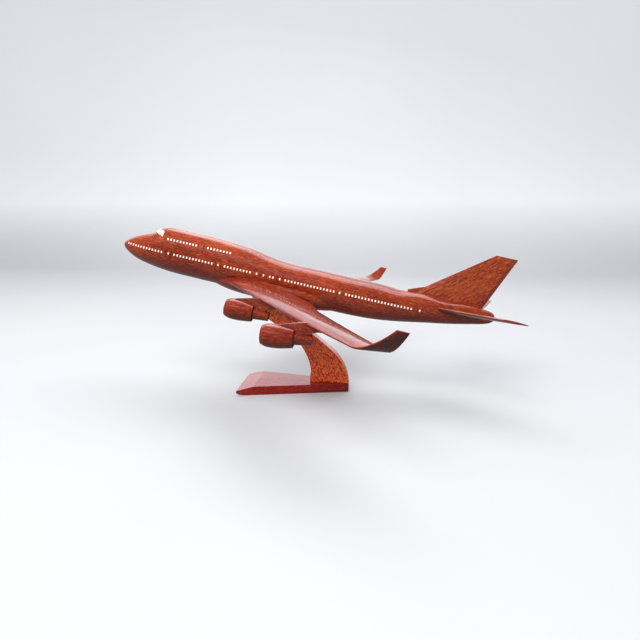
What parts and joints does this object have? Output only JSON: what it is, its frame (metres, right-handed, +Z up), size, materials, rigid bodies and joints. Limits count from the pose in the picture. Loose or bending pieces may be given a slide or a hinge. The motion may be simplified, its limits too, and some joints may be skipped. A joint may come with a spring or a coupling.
{
  "type": "desktop airliner model",
  "caption": "Polished hardwood model of a four-engined wide-body airliner with an upper deck and winglets, on a horn-shaped plank stand with a tapered base.",
  "frame": {"origin": "centre of the base plate's underside, on the table", "axes": "+Z up, nose toward -X, port side toward -Y; the XZ plane is the plane of symmetry"},
  "size_m": [0.4778, 0.4722, 0.2024],
  "materials": {
    "rosewood": "clear gloss lacquer",
    "bone_inlay": "polished, bone-like",
    "dowel_beech": "bare",
    "pin_steel": "bright drawn",
    "screw_steel": "zinc plated",
    "brad_brass": "bare"
  },
  "bodies": {
    "stand": {"base_plate": "rosewood", "stand_column": "rosewood", "base_screws": "screw_steel"},
    "pin": {"pivot_pin": "pin_steel"},
    "aircraft": {"fuselage": "rosewood", "tail_fin": "rosewood", "wing_dowels": "dowel_beech", "stabiliser_dowel": "dowel_beech", "fin_dowels": "dowel_beech", "pylon_brads": "brad_brass", "wing_left": "rosewood", "winglet_left": "rosewood", "stabiliser_left": "rosewood", "inner_nacelle_left": "rosewood", "outer_nacelle_left": "rosewood", "inner_pylon_left": "rosewood", "outer_pylon_left": "rosewood", "wing_right": "rosewood", "winglet_right": "rosewood", "stabiliser_right": "rosewood", "inner_nacelle_right": "rosewood", "outer_nacelle_right": "rosewood", "inner_pylon_right": "rosewood", "outer_pylon_right": "rosewood", "main_deck_windows_left": "bone_inlay", "upper_deck_windows_left": "bone_inlay", "windscreen_left": "bone_inlay", "main_deck_windows_right": "bone_inlay", "upper_deck_windows_right": "bone_inlay", "windscreen_right": "bone_inlay"}
  },
  "joints": [
    {"name": "swivel", "type": "hinge", "parent": "stand", "child": "pin", "pos_m": [-0.02574, 0, 0.11453], "axis": [0.212, 0, 0.9773], "continuous": true},
    {"name": "lift_off", "type": "slide", "parent": "pin", "child": "aircraft", "axis": [0.212, 0, 0.9773], "range_m": [0, 0.03]}
  ]
}
